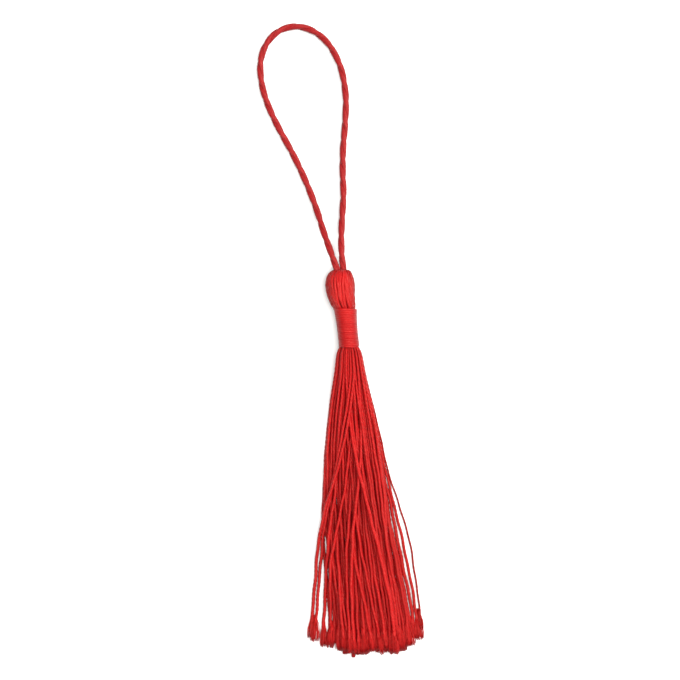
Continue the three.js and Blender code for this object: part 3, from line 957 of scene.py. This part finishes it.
def head_sections():
    """Rows of y, x, z and half width from under the binding, over the head and into the crown."""
    points, edges = merged_solid("floss")
    rows = []
    for y in np.linspace(HEAD_FROM, HEAD_TO, HEAD_ROWS):
        x, z, width, _ = section(points, edges, y)
        rows.append([y, x, z, width])
    rows = np.array(rows)
    neck = [[y * MM, *rows[0, 1:3], half * MM] for y, half in TUCKED]
    crown = [[y * MM, *rows[-1, 1:3], half * MM] for y, half in CROWN_FOLD]
    return np.vstack([neck, rows, crown])


def head_yarn(sections, angle, lean, settings, step):
    """Path of one folded yarn as rows of x, y, z and radius."""
    thick = sections[:, 3] * math.pi / settings.yarns * settings.overlap
    turn = angle + lean * np.linspace(-1, 1, len(sections))
    rise = np.clip((sections[:, 0] - HEAD_FROM) / (HEAD_TO - HEAD_FROM), 0, 1)
    reach = sections[:, 3] + SHOULDER * rise - thick
    x = sections[:, 1] + reach * np.cos(turn)
    z = sections[:, 2] + reach * np.sin(turn)
    path = np.stack([x, sections[:, 0], z, thick], axis=1)
    path = smoothed(evenly(path, step), 1)
    path[:, 2] = np.maximum(path[:, 2], path[:, 3])
    return path


def head_tubes(sections, settings, step, rng):
    """Two twisted plies of every folded yarn round the head."""
    crest = (sections[:, 2] + sections[:, 3]).max()
    tubes = []
    for k in range(settings.yarns):
        angle = 2 * math.pi * (k + YARN_STRAY * rng.uniform(-1, 1)) / settings.yarns
        lean = settings.lean * rng.uniform(-1, 1)
        path = head_yarn(sections, angle, lean, settings, step)
        outwards = (math.cos(angle), 0, math.sin(angle))
        turn = twist(path[:, :3], settings.pitch, rng.uniform(0, 2 * math.pi))
        rings = plies(path[:, :3], path[:, 3], outwards, turn, PLY_SIDES, settings.relief)
        # Painted shade: the tone falls off from the crest towards the floor, with a random tone for each
        # yarn
        tone = HEAD_TONE * (path[:, 2] / crest) ** 2 + YARN_TONE * rng.uniform(-1, 1)
        for ring, own in zip(rings, PLY_TONES):
            tubes.append((ring, shaded(ring, path, path[:, 3], tone + own)))
    return tubes


def core_sections(sections):
    """Sections of the inner bundle, from the crown through the binding to the top of the skirt."""
    inner = sections[: HEAD_ROWS + len(TUCKED)].copy()
    inner[:, 3] *= CORE_SHARE
    below = neck_sections()
    below[:, 3] = CORE_SHARE * below[:, 3:].min(axis=1) * np.linspace(1, CORE_TAPER, len(below))
    return np.vstack([inner[::-1], below[:, :4]])


def inner_floss(sections, material):
    """Closed bundle inside head, binding and top of the skirt, drawn out section by section."""
    bpy.ops.object.select_all(action="DESELECT")
    y, x, z, half = sections[0]
    bpy.ops.mesh.primitive_circle_add(
        vertices=CORE_SIDES,
        radius=half,
        fill_type="NGON",
        calc_uvs=False,
        location=(x, y, z),
        rotation=(math.pi / 2, 0, 0),
    )
    core = bpy.context.object
    bpy.ops.object.transform_apply(location=True, rotation=True, scale=True)
    bpy.ops.object.mode_set(mode="EDIT")
    bpy.ops.mesh.select_all(action="SELECT")
    for last, row in zip(sections, sections[1:]):
        move = (row[1] - last[1], row[0] - last[0], row[2] - last[2])
        bpy.ops.mesh.extrude_region_move(TRANSFORM_OT_translate={"value": move})
        grow = row[3] / last[3]
        bpy.ops.transform.resize(value=(grow, 1, grow), center_override=(row[1], row[0], row[2]))
    bpy.ops.mesh.select_all(action="SELECT")
    bpy.ops.mesh.normals_make_consistent(inside=False)
    bpy.ops.object.mode_set(mode="OBJECT")
    core.data.materials.append(material)
    core.data.shade_smooth()
    return core


class TASSEL_OT_head(bpy.types.Operator):
    """Makes the folded head: yarns over an inner bundle, from the binding to the crown"""

    bl_idname = "tassel.head"
    bl_label = "Head"

    def execute(self, context):
        settings = context.scene.tassel_head
        floss = context.scene.tassel_skirt
        rng = np.random.default_rng(SEED + 1)
        material = bpy.data.materials["viscose_floss"]
        sections = head_sections()
        head = tubes_object("head", head_tubes(sections, settings, floss.step, rng), material)
        core = inner_floss(core_sections(sections), material)
        bpy.ops.object.select_all(action="DESELECT")
        core.select_set(True)
        head.select_set(True)
        context.view_layer.objects.active = head
        bpy.ops.object.join()
        dress(head, "floss")
        return {"FINISHED"}


# Neck binding

BINDING_STEPS = 36  # rings in one turn of thread
BINDING_SIDES = 8
BINDING_REACH = 0.42 * MM  # how far the thread runs past its solid at each end
BINDING_SLICES = 9
RIDGE = 0.1 * MM  # how far the turns stand out from the solid's mean outline
TUCK_TURN = 0.3  # share of a turn over which each end of the thread goes under
TUCK_DEPTH = 0.6 * MM
TOP_STEP = 0.1 * MM  # how far the last turn by the head stands out
TOP_TURNS = 1.5  # turns over which it comes to stand out
PRESSED = (0.8, 1.15)  # height and width of the wound thread as shares of its diameter
BINDING_TONE = 0.85  # tone on the crest of the binding
BINDING_FALL = 2.4  # how fast painted shade makes it fall off towards the floor
TURN_TONE = 0.05  # how far the tone of a turn strays to each side


def binding_fit():
    """Ends of the solid on y, and its middle's x and z and its radius as polynomials in y."""
    points, edges = merged_solid("neck_binding")
    low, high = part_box("neck_binding")
    heights = np.linspace(low.y, high.y, BINDING_SLICES + 2)[1:-1]
    rows = np.array([[y, *section(points, edges, y)[:3]] for y in heights])
    fits = [np.polyfit(rows[:, 0], rows[:, column], degree) for column, degree in ((1, 1), (2, 1), (3, 2))]
    return low.y, high.y, *fits


def thread_radius(girth, y, share, settings):
    """Distance of the wound thread from the middle of the neck; its two ends are tucked under."""
    from_start = share * settings.turns
    from_head = (1 - share) * settings.turns
    tucked = np.clip(1 - np.minimum(from_start, from_head) / TUCK_TURN, 0, 1)
    radius = np.polyval(girth, y) + RIDGE - settings.thread / 2 - TUCK_DEPTH * tucked**2
    return radius + TOP_STEP * np.clip(1 - from_head / TOP_TURNS, 0, 1)


def wound_thread(settings, rng):
    """Rings of the thread wound round the neck and their tones."""
    start, end, axis_x, axis_z, girth = binding_fit()
    share = np.linspace(0, 1, settings.turns * BINDING_STEPS + 1)
    places = np.arange(settings.turns + 1)
    stray = np.interp(share * settings.turns, places, rng.uniform(-1, 1, len(places)))
    y = start - BINDING_REACH + share * (end - start + 2 * BINDING_REACH) + settings.unevenness * stray
    turn = 2 * math.pi * settings.turns * share
    centre = np.stack([np.polyval(axis_x, y), y, np.polyval(axis_z, y)], axis=1)
    outwards = np.stack([np.cos(turn), 0 * turn, np.sin(turn)], axis=1)
    path = centre + outwards * thread_radius(girth, y, share, settings)[:, None]
    along = np.gradient(path, axis=0)
    along /= np.linalg.norm(along, axis=1)[:, None]
    depth, width = (np.full(len(path), size * settings.thread / 2) for size in PRESSED)
    rings = tube(path, outwards, np.cross(along, outwards), depth, width, BINDING_SIDES)
    # Painted shade: the tone falls off from the crest towards the floor, with a random tone for each turn
    tone = BINDING_TONE * (path[:, 2] / path[:, 2].max()) ** BINDING_FALL + TURN_TONE * stray
    return rings, tone[:, None]


class TASSEL_OT_neck_binding(bpy.types.Operator):
    """Winds the thread round the neck, turn by turn"""

    bl_idname = "tassel.neck_binding"
    bl_label = "Neck binding"

    def execute(self, context):
        settings = context.scene.tassel_binding
        rng = np.random.default_rng(SEED + 2)
        thread = wound_thread(settings, rng)
        binding = tubes_object("neck_binding_thread", [thread], polyester_thread(settings))
        dress(binding, "neck_binding")
        return {"FINISHED"}


class TASSEL_PT_pieces(bpy.types.Panel):
    """Lists the tassel's pieces and their sizes"""

    bl_idname = "TASSEL_PT_pieces"
    bl_label = "Tassel"
    bl_space_type = "VIEW_3D"
    bl_region_type = "UI"
    bl_category = "Tassel"

    def draw(self, context):
        for operator, group in STEPS:
            box = self.layout.box()
            box.operator(operator.bl_idname)
            settings = getattr(context.scene, group)
            for name in settings.__annotations__:
                box.prop(settings, name)


STEPS = (
    (TASSEL_OT_stage, "tassel_stage"),
    (TASSEL_OT_hanging_loop, "tassel_loop"),
    (TASSEL_OT_skirt, "tassel_skirt"),
    (TASSEL_OT_head, "tassel_head"),
    (TASSEL_OT_neck_binding, "tassel_binding"),
)
GROUPS = {
    "tassel_stage": TasselStageSettings,
    "tassel_loop": TasselLoopSettings,
    "tassel_skirt": TasselSkirtSettings,
    "tassel_head": TasselHeadSettings,
    "tassel_binding": TasselBindingSettings,
}
CLASSES = (*GROUPS.values(), *(operator for operator, _ in STEPS), TASSEL_PT_pieces)


def register():
    for cls in CLASSES:
        bpy.utils.register_class(cls)
    for name, group in GROUPS.items():
        setattr(bpy.types.Scene, name, PointerProperty(type=group))


def unregister():
    for name in GROUPS:
        delattr(bpy.types.Scene, name)
    for cls in reversed(CLASSES):
        bpy.utils.unregister_class(cls)


def main():
    register()
    bpy.ops.tassel.stage()
    bpy.ops.tassel.hanging_loop()
    bpy.ops.tassel.skirt()
    bpy.ops.tassel.head()
    bpy.ops.tassel.neck_binding()


if __name__ == "__main__":
    main()
